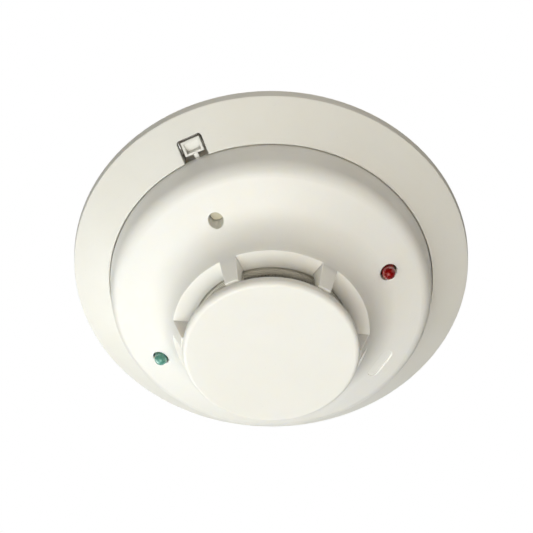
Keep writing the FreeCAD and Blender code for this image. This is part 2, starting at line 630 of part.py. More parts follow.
def release_lever():
    """A pad, an arm to its hub and a tooth over the head's skirt, moulded as one."""
    body = new_body("release_lever")
    front_out = f"-({flange_depth('size.pad_outer')} - size.pad_recess)"
    front_in = f"-({flange_depth('size.pad_inner')} - size.pad_recess)"
    profile = new_sketch(body, "YZ_Plane")
    outline(profile, [("-size.pad_outer", front_out, "size.lip_round"),
                      ("-size.pad_inner", front_in, "size.lip_round"),
                      ("-size.pad_inner", "-size.pad_back"), ("-size.pad_outer", "-size.pad_back")])
    pad(body, profile, "size.pad_width", centred=True)
    arm = new_sketch(body, "YZ_Plane")
    outline(arm, [("-size.pad_outer + size.arm_root", "-size.pad_back"),
                  ("-size.pad_outer + size.arm_root", "-size.pad_back - size.bite"),
                  ("-size.pad_outer", "-size.pad_back - size.bite / 2"),
                  ("-size.pivot_radius", "-size.pivot_depth - size.arm_front"),
                  ("-size.pivot_radius", "-size.pivot_depth + size.arm_back")])
    pad(body, arm, "size.arm_width", centred=True)
    hub = new_sketch(body, "YZ_Plane")
    round_outline(hub, "-size.pivot_radius", "-size.pivot_depth", "size.lever_hub_dia")
    pad(body, hub, "size.pad_width", centred=True)
    tooth = new_sketch(body, "YZ_Plane")
    tooth_front = "size.skirt_depth - size.tooth_gap"
    box_outline(tooth, "-size.pad_inner - size.bite", "-size.tooth_tip",
                f"-({tooth_front})", f"-({tooth_front} - size.tooth_thick)")
    pad(body, tooth, "size.tooth_width", centred=True)
    dish = new_sketch(body, "XY_Plane", height=front_out)
    box_outline(dish, "-size.pad_width / 2 + size.pad_frame", "size.pad_width / 2 - size.pad_frame",
                "-size.pad_outer + size.pad_frame", "-size.pad_inner - size.pad_frame")
    pocket(body, dish, "size.seam_depth")
    bore = new_sketch(body, "YZ_Plane")
    round_outline(bore, "-size.pivot_radius", "-size.pivot_depth", "size.pivot_dia + size.pin_fit")
    pocket(body, bore, "size.pad_width + 2 * size.bite", centred=True)


def lever_pin():
    pin = doc.addObject("Part::Cylinder", "lever_pin")
    pin.setExpression("Radius", "size.pivot_dia / 2")
    pin.setExpression("Height", PIVOT_LENGTH)
    pin.Placement.Rotation = FreeCAD.Rotation(FreeCAD.Vector(0, 1, 0), 90)
    pin.setExpression("Placement.Base.x", f"-{PIVOT_LENGTH} / 2")
    pin.setExpression("Placement.Base.y", "-size.pivot_radius")
    pin.setExpression("Placement.Base.z", "-size.pivot_depth")
    keep(pin, "lever_pin")


def lever_spring():
    """A small coil spring between the base's seat and the back of the pad."""
    length = "(size.pad_back - size.seat_thick - size.spring_wire_dia)"
    path = doc.addObject("Part::Helix", "lever_spring_path")
    path.setExpression("Pitch", f"{length} / size.spring_turns")
    path.setExpression("Height", length)
    path.setExpression("Radius", "size.spring_dia / 2")
    section = doc.addObject("Part::Circle", "lever_spring_section")
    section.setExpression("Radius", "size.spring_wire_dia / 2")
    section.Placement.Rotation = FreeCAD.Rotation(FreeCAD.Vector(1, 0, 0), 90)
    section.setExpression("Placement.Base.x", "size.spring_dia / 2")
    spring = doc.addObject("Part::Sweep", "lever_spring")
    spring.Sections = [section]
    spring.Spine = path
    spring.Solid = True
    spring.Frenet = True
    spring.setExpression("Placement.Base.y", "-(size.pad_outer - size.spring_inset)")
    spring.setExpression("Placement.Base.z", "-(size.pad_back - size.spring_wire_dia / 2)")
    keep(spring, "lever_spring")


def contact_springs():
    """Sprung strips that wipe on the head's blades, one to each terminal."""
    body = new_body("contact_springs")
    tail = f"{TERMINAL_R} + size.strip_tail"
    root = f"{TERMINAL_R} - size.strip_root"
    crest = f"{TERMINAL_R} - size.strip_crest"
    tip = f"{TERMINAL_R} - size.strip_reach"
    seat = f"-{BOSS_TOP}"
    crest_front = "-(size.chassis_depth - size.strip_thick - size.wipe_gap)"
    tip_front = f"{crest_front} + size.strip_hook"
    sketch = new_sketch(body, "XZ_Plane", turn=CONTACT_TURN)
    outline(sketch, [(tail, seat), (root, seat, "size.root_bend"),
                     (crest, f"{crest_front} + size.strip_thick",
                      "size.crest_bend - size.strip_thick"),
                     (tip, f"{tip_front} + size.strip_thick"), (tip, tip_front),
                     (crest, crest_front, "size.crest_bend"),
                     (root, f"{seat} - size.strip_thick", "size.root_bend - size.strip_thick"),
                     (tail, f"{seat} - size.strip_thick")])
    strip = pad(body, sketch, "size.strip_width", centred=True)
    repeat_around(body, [strip], "size.contact_count")
    terminal_holes(body)


def terminal_clamps():
    body = new_body("terminal_clamps")
    plate = block(body, f"{TERMINAL_R} - size.clamp_side / 2", f"{TERMINAL_R} + size.clamp_side / 2",
                  "-size.clamp_side / 2", "size.clamp_side / 2", f"-{CLAMP_FRONT}",
                  "size.clamp_thick", turn=CONTACT_TURN)
    repeat_around(body, [plate], "size.contact_count")
    terminal_holes(body)


def terminal_holes(body):
    """Clearance holes for the four terminal screws."""
    hole = drill(body, TERMINAL_R, "0", "size.terminal_shank_dia + size.screw_fit", "0", THROUGH,
                 turn=CONTACT_TURN)
    repeat_around(body, [hole], "size.contact_count")


def terminal_screws():
    body = new_body("terminal_screws")
    head = disc(body, TERMINAL_R, "0", "size.terminal_head_dia", f"-{CLAMP_FRONT}",
                "size.terminal_head_height", turn=CONTACT_TURN, down=True)
    shank = disc(body, TERMINAL_R, "0", "size.terminal_shank_dia", f"-{CLAMP_FRONT} - size.bite",
                 "size.terminal_shank_length + size.bite", turn=CONTACT_TURN)
    repeat_around(body, [head, shank], "size.contact_count")
    driver_slots(body, TERMINAL_R, "size.terminal_slot_length",
                 f"-({CLAMP_FRONT} + size.terminal_head_height - size.driver_slot_sink)",
                 CONTACT_TURN, "size.contact_count")


# ---------------------------------------------------------------- the head

def head_cover():
    """The visible dome from its skirt to the land, and the six ribs that carry the cap."""
    body = doc.addObject("PartDesign::Body", "dome_with_ribs")
    inner_shoulder = f"-({face_depth('size.shoulder_dia / 2 - size.wall')} - {FACE_WALL})"
    inner_cove = f"-({face_depth('size.cove_dia / 2')} - {FACE_WALL})"
    tube_out = "(size.neck_bore_dia / 2 + size.neck_wall)"
    land_back = "-(size.neck_depth - size.land_thick)"
    ring(body, [(f"{RING_OUT} + size.close_fit", "-size.skirt_depth"),
                (HEAD_R, "-size.skirt_depth"), (HEAD_R, "-size.seam_depth"),
                ("size.shoulder_dia / 2", "-size.shoulder_depth", "size.shoulder_round"),
                ("size.cove_dia / 2", "-size.cove_depth", "size.cove_round"),
                ("size.rib_tip_dia / 2", f"-{RIB_TIP}"), ("size.rib_inner_dia / 2", f"-{RIB_TIP}"),
                ("size.rib_inner_dia / 2", "-(size.neck_depth - size.land_step)"),
                ("size.neck_bore_dia / 2", "-(size.neck_depth - size.land_step)", "size.lip_round"),
                ("size.neck_bore_dia / 2", "-size.neck_back_depth"),
                (tube_out, "-size.neck_back_depth"), (tube_out, land_back),
                (f"{LAND_OUT} - size.neck_wall", land_back),
                ("size.cove_dia / 2 - size.neck_wall / 2", inner_cove),
                ("size.shoulder_dia / 2 - size.wall", inner_shoulder,
                 "size.shoulder_round - size.wall"),
                (f"{RING_OUT} + size.close_fit", "-(size.seam_depth + size.wall / 2)")])
    cover_inlets(body)
    cover_bosses(body)
    cover_holes(body)
    cover_mark(body)
    cover_rounds(body)
    beyond_land = doc.addObject("Part::Cylinder", "beyond_land")
    beyond_land.setExpression("Radius", "size.cove_dia / 2")
    beyond_land.setExpression("Height", "size.overall_depth - size.neck_depth - size.rib_foot")
    beyond_land.setExpression("Placement.Base.z", "-size.overall_depth")
    for kind, label in (("Part::Cut", "head_cover"), ("Part::Common", "inlet_ribs")):
        piece = doc.addObject(kind, label)
        piece.Base = body
        piece.Tool = beyond_land
        keep(piece, label)


def cover_inlets(body):
    """Six tapered windows through the neck; what is left between them are the ribs."""
    half_tip = "size.rib_tip_width / 2"
    height = f"({RIB_TIP} - size.neck_depth)"
    half_angle = "(180 / size.rib_count)"
    apex = f"({half_tip} / sin({half_angle}))"
    far = f"{apex} + size.cove_dia * cos({half_angle})"
    side = f"size.cove_dia * sin({half_angle})"
    sketch = new_sketch(body, "XY_Plane", height=f"-{RIB_TIP}", turn=f"{FRONT_TURN} + {half_angle}")
    outline(sketch, [(apex, "0"), (far, f"-{side}"), (far, side)])
    inlet = pocket(body, sketch, height, up=True)
    inlet.setExpression("TaperAngle", f"-atan((size.rib_width - size.rib_tip_width) / 2 / {height})")
    repeat_around(body, [inlet], "size.rib_count")


def cover_bosses(body):
    """Bosses for the three screws that hold the chassis to the cover."""
    foot = f"({face_depth('size.boss_ring_dia / 2')} - size.wall / 2)"
    boss = disc(body, "size.boss_ring_dia / 2", "0", "size.boss_dia", f"-{foot}",
                f"{foot} - size.chassis_depth - size.chassis_plate", turn=BOSS_TURN)
    repeat_around(body, [boss], "size.boss_count")
    hole = drill(body, "size.boss_ring_dia / 2", "0", "size.chassis_screw_dia",
                 "-size.chassis_depth", "size.chassis_screw_length + size.chassis_screw_dia",
                 turn=BOSS_TURN)
    repeat_around(body, [hole], "size.boss_count")


def cover_holes(body):
    """Holes for the two lamps, and the test button's hole with its guide tube."""
    tube_reach = "size.button_radius + size.button_hole_dia / 2 + size.guide_wall"
    foot = f"({face_depth(tube_reach)} - size.edge_round)"
    guide = disc(body, "0", "-size.button_radius", "size.button_hole_dia + size.guide_wall * 2",
                 f"-{foot}", f"{foot} - {GUIDE_BACK}")
    body.Tip = guide
    sketch = new_sketch(body, "XY_Plane", height="-size.board_depth")
    round_outline(sketch, "size.lamp_radius", "0", "size.lamp_hole_dia")
    round_outline(sketch, "-size.lamp_radius", "0", "size.lamp_hole_dia")
    round_outline(sketch, "0", "-size.button_radius", "size.button_hole_dia")
    pocket(body, sketch, "size.neck_depth")


def cover_mark(body):
    """A shallow finger mark that follows the slope of the face."""
    sketch = new_sketch(body, "XY_Plane", height="0", turn="size.pocket_angle")
    slot_outline(sketch, "size.pocket_radius", "0", "size.pocket_length", "size.pocket_width",
                 along_y=True)
    radius = value("size.pocket_radius")
    floor_depth = value(f"{face_depth('size.pocket_radius')} - size.pocket_sink")
    turn = FreeCAD.Rotation(FreeCAD.Vector(0, 0, 1), value("size.pocket_angle"))
    lean = FreeCAD.Rotation(FreeCAD.Vector(0, 1, 0), -math.degrees(math.atan(value(FACE_RISE))))
    centre = turn.multVec(FreeCAD.Vector(radius, 0, -floor_depth))
    sketch.setExpression("AttachmentOffset.Rotation.Angle", None)
    sketch.setExpression("AttachmentOffset.Base.z", None)
    on_face = FreeCAD.Placement(centre, turn.multiply(lean))
    back_to_axis = FreeCAD.Placement(FreeCAD.Vector(-radius, 0, 0), FreeCAD.Rotation())
    sketch.AttachmentOffset = on_face.multiply(back_to_axis)
    doc.recompute()
    pocket(body, sketch, "size.wall")


def cover_rounds(body):
    """Small rounds on the ribs, the inlets, the holes and the finger mark."""
    touch = 0.02
    land = value("size.neck_depth")
    tip = value(RIB_TIP)
    tip_radius = value("size.rib_tip_dia / 2")
    neck_taper = value(NECK_TAPER)
    half_rib = value("size.rib_tip_dia - size.rib_inner_dia") / 4
    mark_angle = value("size.pocket_angle")
    mark_reach = math.degrees(math.atan2(value("size.pocket_length / 2"),
                                         value("size.pocket_radius")))
    lamp = (value("size.lamp_radius"), 0, value("size.lamp_hole_dia"))
    opposite_lamp = (-lamp[0], 0, lamp[2])
    button = (0, -value("size.button_radius"), value("size.button_hole_dia"))

    def on_rib(edge):
        ends = ends_of(edge)
        on_neck = all(depth > land - touch
                      and abs(radius - tip_radius - (tip - depth) * neck_taper) < touch
                      for radius, depth in ends)
        at_tip = all(abs(depth - tip) < touch for _, depth in ends)
        across_rib = abs(ends[0][0] - ends[-1][0]) > half_rib
        return on_neck or (at_tip and across_rib)

    def in_mark(edge):
        on_face = all(abs(depth - value(face_depth(radius))) < touch
                      for radius, depth in ends_of(edge))
        return on_face and abs(angle_of(edge) - mark_angle) <= mark_reach

    def in_hole(edge, x, y, diameter):
        on_wall = all(abs(math.hypot(v.Point.x - x, v.Point.y - y) - diameter / 2) < touch
                      for v in edge.Vertexes)
        on_front = all(depth > value(face_depth(radius)) - value("size.wall / 2")
                       for radius, depth in ends_of(edge))
        return on_wall and on_front

    def in_any_hole(edge):
        return any(in_hole(edge, *hole) for hole in (lamp, opposite_lamp, button))

    round_edges(body, "size.edge_round", in_any_hole)
    round_edges(body, "size.edge_round", in_mark)
    round_edges(body, "size.edge_round", on_rib)


def head_chassis():
    """The plate behind the electronics, with the ring and tabs of the bayonet."""
    body = new_body("head_chassis")
    plate_front = "-(size.chassis_depth + size.chassis_plate)"
    ring(body, [("0", plate_front), (RING_OUT, plate_front), (RING_OUT, "-size.tab_depth"),
                (RING_IN, "-size.tab_depth"), (RING_IN, "-size.chassis_depth"),
                ("0", "-size.chassis_depth")])
    tab = ring_box(body, f"{RING_OUT} - size.bite", f"{BORE} - 2 * size.running_gap",
                   "-(size.tab_depth + size.tab_thick)", "-size.tab_depth",
                   arc="size.lug_arc", turn=LUG_TURN)
    repeat_around(body, [tab], "size.lug_count")
    stand = disc(body, "size.stand_radius", "0", "size.stand_dia", plate_front,
                 "size.board_depth - size.chassis_depth - size.chassis_plate", turn=STAND_TURN,
                 down=True)
    repeat_around(body, [stand], "size.boss_count")
    screw_hole = drill(body, "size.boss_ring_dia / 2", "0", "size.chassis_screw_dia + size.screw_fit",
                       "0", THROUGH, turn=BOSS_TURN)
    repeat_around(body, [screw_hole], "size.boss_count")
    pin_holes(body)
    chassis_ribs(body)


def pin_holes(body):
    """Holes for the four contact pins."""
    hole = drill(body, *CONTACT_PIN, "size.pin_dia", "0", THROUGH, turn=CONTACT_TURN)
    repeat_around(body, [hole], "size.contact_count")


def chassis_ribs(body):
    """Low ribs on the ceiling side, around the moulding gate."""
    foot = "-(size.chassis_depth + size.bite)"
    height = "size.bite + size.hub_rise"
    ring_box(body, "size.hub_dia / 2 - size.web_thick", "size.hub_dia / 2", foot,
             f"{foot} + {height}")
    disc(body, "0", "0", "size.gate_dia", foot, height)
    spoke = block(body, "size.gate_dia / 2 - size.bite", "size.hub_dia / 2 - size.web_thick / 2",
                  "-size.web_thick / 2", "size.web_thick / 2", foot, height, turn=FRONT_TURN)
    repeat_around(body, [spoke], "size.rib_count")


def contact_blades():
    """Flat blades on the chassis that slide under the base's springs."""
    body = new_body("contact_blades")
    blade = block(body, "size.blade_inner", "size.blade_outer", "-size.blade_lead",
                  "size.blade_trail", "-size.chassis_depth", "size.strip_thick",
                  turn=CONTACT_TURN)
    repeat_around(body, [blade], "size.contact_count")
    pin_holes(body)


def contact_pins():
    """Pins that join each blade to the circuit board."""
    body = new_body("contact_pins")
    blade_back = "(size.chassis_depth - size.strip_thick)"
    head = disc(body, *CONTACT_PIN, "size.pin_head_dia", f"-{blade_back}", "size.pin_head_height",
                turn=CONTACT_TURN)
    shank = disc(body, *CONTACT_PIN, "size.pin_dia", f"-{blade_back} + size.bite",
                 f"{BOARD_FRONT} + size.pin_tail - {blade_back} + size.bite",
                 turn=CONTACT_TURN, down=True)
    repeat_around(body, [head, shank], "size.contact_count")


def chassis_screws():
    body = new_body("chassis_screws")
    circle = "size.boss_ring_dia / 2"
    head = disc(body, circle, "0", "size.chassis_head_dia", "-size.chassis_depth",
                "size.chassis_head_height", turn=BOSS_TURN)
    shank = disc(body, circle, "0", "size.chassis_screw_dia", "-size.chassis_depth + size.bite",
                 "size.chassis_screw_length + size.bite", turn=BOSS_TURN, down=True)
    repeat_around(body, [head, shank], "size.boss_count")
    driver_slots(body, circle, "size.chassis_slot_length",
                 "-size.chassis_depth + size.chassis_head_height + size.bite",
                 BOSS_TURN, "size.boss_count")


def circuit_board():
    body = new_body("circuit_board")
    disc(body, "0", "0", "size.board_dia", "-size.board_depth", "size.board_thick", down=True)
    pin_holes(body)
    lead_holes = new_sketch(body, "XY_Plane", height="0")
    for side in ("", "-"):
        for lead in LEADS:
            round_outline(lead_holes, f"{side}size.lamp_radius {lead}", "0", "size.lead_hole_dia")
    pocket(body, lead_holes, THROUGH)


def board_box(label, x, y, length, width, height):
    """A plain component that stands on the front of the circuit board."""
    part = doc.addObject("Part::Box", label)
    part.Length = length
    part.Width = width
    part.Height = height
    part.Placement.Base = FreeCAD.Vector(x - length / 2, y - width / 2, 0)
    part.setExpression("Placement.Base.z", f"-{BOARD_FRONT} - {height}")
    return part


def board_can(label, x, y, diameter, height):
    """A round component that stands on the front of the circuit board."""
    part = doc.addObject("Part::Cylinder", label)
    part.Radius = diameter / 2
    part.Height = height
    part.Placement.Base = FreeCAD.Vector(x, y, 0)
    part.setExpression("Placement.Base.z", f"-{BOARD_FRONT} - {height}")
    return part


def group(label, parts):
    """Like pieces that share one node, as separate solids."""
    compound = doc.addObject("Part::Compound", label)
    compound.Links = parts
    keep(compound, label)


def board_components():
    """The larger components; the free places on the board set where they stand."""
    keep(board_box("alarm_relay", x=-17, y=17, length=19, width=10.5, height=9.5), "alarm_relay")
    keep(board_box("control_chip", x=16, y=-12, length=9, width=5.6, height=1.6), "control_chip")
    keep(board_box("bridge_rectifier", x=20, y=17, length=8, width=6.5, height=3),
         "bridge_rectifier")
    keep(board_can("surge_suppressor", x=-19, y=-17, diameter=9, height=4), "surge_suppressor")
    keep(board_can("reference_thermistor", x=0, y=-15, diameter=5, height=6),
         "reference_thermistor")
    can_pitch = 9
    group("capacitors", [board_can(f"capacitor_{i}", x=8 + can_pitch * i, y=26, diameter=6.3,
                                   height=7) for i in range(2)])
    chip_pitch = 3.4
    group("chip_resistors", [board_box(f"resistor_{i}", x=31, y=chip_pitch * i - 22, length=2,
                                       width=1.25, height=0.55) for i in range(12)])


def lamp(label, side):
    """A round lamp with a domed tip, a flange and two leads down to the board."""
    body = new_body(label)
    radius = "size.lamp_dia / 2"
    flange = f"({radius} + size.lamp_flange)"
    flange_front = f"-({LAMP_BACK} + size.lamp_flange_thick)"
    profile = new_sketch(body, "XZ_Plane")
    outline(profile, [("0", f"-{LAMP_BACK}"), (flange, f"-{LAMP_BACK}"), (flange, flange_front),
                      (radius, flange_front),
                      (radius, "-size.lamp_tip_depth", f"{radius} * {NEARLY}"),
                      ("0", "-size.lamp_tip_depth")])
    turn_feature(body, "Revolution", profile)
    leads = new_sketch(body, "XY_Plane", height=f"-{LAMP_BACK} - size.bite")
    half = "size.lead_width / 2"
    for lead in LEADS:
        box_outline(leads, f"0 {lead} - {half}", f"0 {lead} + {half}", f"-{half}", half)
    pad(body, leads, f"{LAMP_BACK} + size.bite - size.board_depth + size.lead_tail")
    body.setExpression("Placement.Base.x", f"{side}size.lamp_radius")


def lamp_spacers():
    """Sleeves that hold the lamps at their height above the board."""
    body = new_body("lamp_spacers")
    for side in ("", "-"):
        disc(body, f"{side}size.lamp_radius", "0", "size.spacer_dia", f"-{BOARD_FRONT}",
             f"{LAMP_BACK} - {BOARD_FRONT}", down=True)
    sketch = new_sketch(body, "XY_Plane", height="0")
    half = "(size.lead_width / 2 + size.close_fit)"
    for side in ("", "-"):
        for lead in LEADS:
            middle = f"{side}size.lamp_radius {lead}"
            box_outline(sketch, f"{middle} - {half}", f"{middle} + {half}", f"-{half}", half)
    pocket(body, sketch, THROUGH)


def test_switch():
    """The push switch on the board, with a hollow for its key."""
    body = new_body("test_switch")
    half = "size.switch_side / 2"
    block(body, f"-{half}", half, f"-size.button_radius - {half}", f"-size.button_radius + {half}",
          "-size.switch_depth", f"size.switch_depth - {BOARD_FRONT}")
    sketch = new_sketch(body, "XY_Plane", height="-size.switch_depth - size.bite")
    round_outline(sketch, "0", "-size.button_radius", "size.key_dia + size.key_fit")
    pocket(body, sketch, "size.bite + size.switch_depth - size.button_back_depth"
           " + size.key_length + size.button_travel + size.running_gap", up=True)


def switch_key():
    body = new_body("switch_key")
    disc(body, "0", "-size.button_radius", "size.key_dia", "-size.button_back_depth",
         "size.key_length")


def test_button():
    """The recessed button; a collar keeps it behind its guide tube."""
    body = new_body("test_button")
    disc(body, "0", "-size.button_radius", "size.button_dia", "-size.button_back_depth",
         "size.button_face_depth - size.button_back_depth", down=True)
    disc(body, "0", "-size.button_radius", "size.collar_dia", "-size.button_back_depth",
         "size.collar_thick", down=True)


def sensor_post():
    """A tapered post that carries the sensing bead into the air path."""
    body = new_body("sensor_post")
    bore = "(size.stem_dia / 2 + size.close_fit)"
    ring(body, [(bore, f"-{BOARD_FRONT}"), ("size.post_dia / 2", f"-{BOARD_FRONT}"),
                ("size.post_tip_dia / 2", "-size.post_tip_depth", "size.lip_round"),
                (bore, "-size.post_tip_depth")])


def sensing_thermistor():
    body = new_body("sensing_thermistor")
    stem = "size.stem_dia / 2"
    bead = "size.bead_dia / 2"
    ring(body, [("0", f"-{BOARD_FRONT}"), (stem, f"-{BOARD_FRONT}"),
                (stem, "-(size.bead_depth - size.bead_length - size.bead_shoulder)"),
                (bead, "-(size.bead_depth - size.bead_length)"),
                (bead, "-size.bead_depth", f"{bead} * {NEARLY}"), ("0", "-size.bead_depth")])


def sensor_cage():
    """A plate that closes the neck and a ring of windows in the air path."""
    body = new_body("sensor_cage")
    hole = "size.post_dia / 2"
    bore = "(size.neck_bore_dia / 2 - size.running_gap)"
    wall = "size.cage_wall_dia / 2"
    foot = "(size.spigot_dia / 2 + size.running_gap)"
    flange_front = "(size.neck_depth + size.cage_lip)"
    plate_front = "(size.cage_plate_depth + size.cage_plate)"
    foot_back = f"({RIB_TIP} - size.cage_plate)"
    ring(body, [(hole, "-size.cage_plate_depth"), (bore, "-size.cage_plate_depth"),
                (bore, f"-{flange_front}"), (wall, f"-{flange_front}"), (wall, f"-{RIB_TIP}"),
                (foot, f"-{RIB_TIP}"), (foot, f"-{foot_back}"), (CAGE_INSIDE, f"-{foot_back}"),
                (CAGE_INSIDE, f"-{plate_front}"), (hole, f"-{plate_front}")])
    window = ring_box(body, f"{CAGE_INSIDE} - size.close_fit", f"{wall} + size.bite",
                      f"-({foot_back} - size.cage_sill)", f"-({flange_front} + size.cage_lintel)",
                      kind="Groove", arc="size.cage_window_arc")
    repeat_around(body, [window], "size.cage_window_count")
    notch = ring_box(body, f"{foot} - size.bite", "size.hook_dia / 2 + size.running_gap",
                     f"-({RIB_TIP} + size.bite)", f"-({foot_back} - size.bite)",
                     kind="Groove", arc="size.notch_arc")
    repeat_around(body, [notch], "size.lug_count")


def insect_screen():
    tube = doc.addObject("Part::Cylinder", "screen_outside")
    hollow = doc.addObject("Part::Cylinder", "screen_inside")
    tube.setExpression("Radius", CAGE_INSIDE)
    hollow.setExpression("Radius", f"{CAGE_INSIDE} - size.screen_thick")
    for piece in (tube, hollow):
        piece.setExpression("Height", f"{RIB_TIP} - size.cage_plate_depth - 2 * size.cage_plate")
        piece.setExpression("Placement.Base.z", f"-({RIB_TIP} - size.cage_plate)")
    screen = doc.addObject("Part::Cut", "insect_screen")
    screen.Base = tube
    screen.Tool = hollow
    keep(screen, "insect_screen")


def cap():
    """The removable cap: a shallow dish with a spigot and three bayonet hooks."""
    body = new_body("cap")
    plate_back = "-(size.overall_depth - size.cap_plate)"
    edge = "size.cap_dia / 2"
    ring(body, [("0", "-size.overall_depth"), (edge, "-size.overall_depth", "size.cap_round"),
                (edge, f"-{CAP_BACK}", "size.lip_round"), (f"{edge} - size.cap_plate", f"-{CAP_BACK}"),
                (f"{edge} - size.cap_plate", plate_back), ("0", plate_back)])
    spigot = "size.spigot_dia / 2"
    hook_front = f"({RIB_TIP} - size.cage_plate - size.running_gap)"
    hook_back = f"-({hook_front} - size.hook_thick)"
    ring_box(body, f"{spigot} - size.spigot_wall", spigot, f"{plate_back} - size.bite", hook_back)
    hook = ring_box(body, f"{spigot} - size.bite", "size.hook_dia / 2", f"-{hook_front}", hook_back,
                    arc="size.hook_arc", turn=HOOK_TURN)
    repeat_around(body, [hook], "size.lug_count")
    web = block(body, "0", f"{spigot} - size.spigot_wall / 2", "-size.web_thick / 2",
                "size.web_thick / 2", f"{plate_back} - size.bite", "size.web_rise + size.bite")
    repeat_around(body, [web], "size.rib_count")


# ---------------------------------------------------------------- build, check and write

mounting_base()
release_lever()
lever_pin()
lever_spring()
contact_springs()
terminal_clamps()
terminal_screws()
head_cover()
head_chassis()
contact_blades()
contact_pins()
chassis_screws()
circuit_board()
board_components()
lamp("red_lamp", "")
lamp("green_lamp", "-")
lamp_spacers()
test_switch()
switch_key()
test_button()
sensor_post()
sensing_thermistor()
sensor_cage()
insect_screen()
cap()
doc.recompute()

for item in doc.Objects:
    if {"Invalid", "Error"} & set(item.State):
        raise RuntimeError(f"{item.Name} failed: {item.State}")
for piece in SUBPARTS:
    if piece.Shape.isNull() or not piece.Shape.isValid():
        raise RuntimeError(f"{piece.Label} has no valid shape")

os.makedirs("parts", exist_ok=True)
for piece in SUBPARTS:
    piece.Shape.exportStep(f"parts/{piece.Label}.step")
    solids = len(piece.Shape.Solids)
    print(f"{piece.Label}: {solids} solid(s), {piece.Shape.Volume:.1f} mm3")
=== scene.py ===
import bpy
import math
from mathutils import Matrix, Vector


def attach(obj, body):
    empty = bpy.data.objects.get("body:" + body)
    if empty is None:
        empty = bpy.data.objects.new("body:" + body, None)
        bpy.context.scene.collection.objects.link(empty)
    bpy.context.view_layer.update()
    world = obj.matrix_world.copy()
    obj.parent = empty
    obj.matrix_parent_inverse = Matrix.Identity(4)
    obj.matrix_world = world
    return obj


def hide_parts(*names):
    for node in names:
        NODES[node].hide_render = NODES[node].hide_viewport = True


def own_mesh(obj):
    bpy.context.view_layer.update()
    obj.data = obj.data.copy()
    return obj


# Looks for a ceiling heat detector.  Metres, in the CAD frame: the ceiling is z = 0, the
# detector hangs below it, and the release lever is on the -Y side.

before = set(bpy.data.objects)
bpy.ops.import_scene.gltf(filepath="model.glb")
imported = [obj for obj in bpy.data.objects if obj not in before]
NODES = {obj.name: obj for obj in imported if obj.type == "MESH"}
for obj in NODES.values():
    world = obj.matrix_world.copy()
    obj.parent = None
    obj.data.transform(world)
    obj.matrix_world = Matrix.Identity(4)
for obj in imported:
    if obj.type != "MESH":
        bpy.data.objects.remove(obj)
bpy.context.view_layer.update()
MM = 0.001
SHARP_ANGLE = math.radians(40)
LEVER_WINDOW = (0.0, -0.067, -0.005)     # middle of the release lever's window
# Painted shade round the release lever's window: full within the first distance, none beyond the
# second.
SHADE_FULL, SHADE_NONE = 6.5 * MM, 9.5 * MM     # distances from there
LAMP_RADIUS = 46.4 * MM                  # from the detector's axis to a lamp's


# ---------------------------------------------------------------- node helpers

class Graph:
    """A short way to write a material's nodes."""

    def __init__(self, name):
        self.material = bpy.data.materials.new(name)
        self.material.use_nodes = True
        self.tree = self.material.node_tree
        self.tree.nodes.clear()
        self.output = self.tree.nodes.new("ShaderNodeOutputMaterial")
        self.place = self.add("ShaderNodeTexCoord").outputs["Object"]

    def add(self, kind, **settings):
        """A node: lower-case settings are its properties, and the rest its input sockets."""
        node = self.tree.nodes.new(kind)
        for key, setting in settings.items():
            if key in node.bl_rna.properties:
                setattr(node, key, setting)
            else:
                self.feed(node.inputs[key.replace("_", " ")], setting)
        return node

    def feed(self, socket, setting):
        """Links a socket, or sets its value."""
        if isinstance(setting, bpy.types.NodeSocket):
            self.tree.links.new(setting, socket)
        else:
            socket.default_value = setting

    def noise(self, scale, detail=2.0, roughness=0.5):
        """Cloudy noise in object space."""
        node = self.add("ShaderNodeTexNoise", Vector=self.place, Scale=scale, Detail=detail,
                        Roughness=roughness)
        return node.outputs["Fac"]

    def ramp(self, factor, low, high, dark=0.0, bright=1.0):
        """A smooth step of the factor between two values."""
        node = self.add("ShaderNodeMapRange", interpolation_type="SMOOTHSTEP", Value=factor)
        node.inputs["From Min"].default_value = low
        node.inputs["From Max"].default_value = high
        node.inputs["To Min"].default_value = dark
        node.inputs["To Max"].default_value = bright
        return node.outputs["Result"]

    def math(self, operation, first, second):
        """Arithmetic on two values."""
        node = self.add("ShaderNodeMath", operation=operation)
        self.feed(node.inputs[0], first)
        self.feed(node.inputs[1], second)
        return node.outputs["Value"]

    def mix(self, factor, first, second):
        """A mix of two colours."""
        node = self.add("ShaderNodeMix", data_type="RGBA")
        self.feed(node.inputs["Factor"], factor)
        self.feed(node.inputs["A"], first)
        self.feed(node.inputs["B"], second)
        return node.outputs["Result"]

    def bump(self, height, distance, strength=1.0, under=None):
        """A bumped normal, which may lie over another one."""
        node = self.add("ShaderNodeBump", Strength=strength, Distance=distance, Height=height)
        if under is not None:
            self.feed(node.inputs["Normal"], under)
        return node.outputs["Normal"]

    def gap_shade(self, reach):
        """Nought in the open, rising to one deep in a narrow gap, where it masks painted shade."""
        node = self.add("ShaderNodeAmbientOcclusion", samples=8, Distance=reach)
        return self.ramp(node.outputs["AO"], 0.12, 0.6, 1.0, 0.0)

    def near(self, centre, inner, outer):
        """One round a place, falling to nought further off."""
        node = self.add("ShaderNodeVectorMath", operation="DISTANCE")
        self.feed(node.inputs[0], self.place)
        node.inputs[1].default_value = centre
        return self.ramp(node.outputs["Value"], inner, outer, 1.0, 0.0)

    def surface(self, **settings):
        """The principled shader, with its sockets by name."""
        shader = self.add("ShaderNodeBsdfPrincipled", **settings)
        self.tree.links.new(shader.outputs["BSDF"], self.output.inputs["Surface"])
        return self.material


def rgb(red, green, blue):
    """A colour with its alpha."""
    return (red, green, blue, 1.0)


def darker(colour, share):
    """A share of a colour."""
    return rgb(*(channel * share for channel in colour))


# ---------------------------------------------------------------- materials

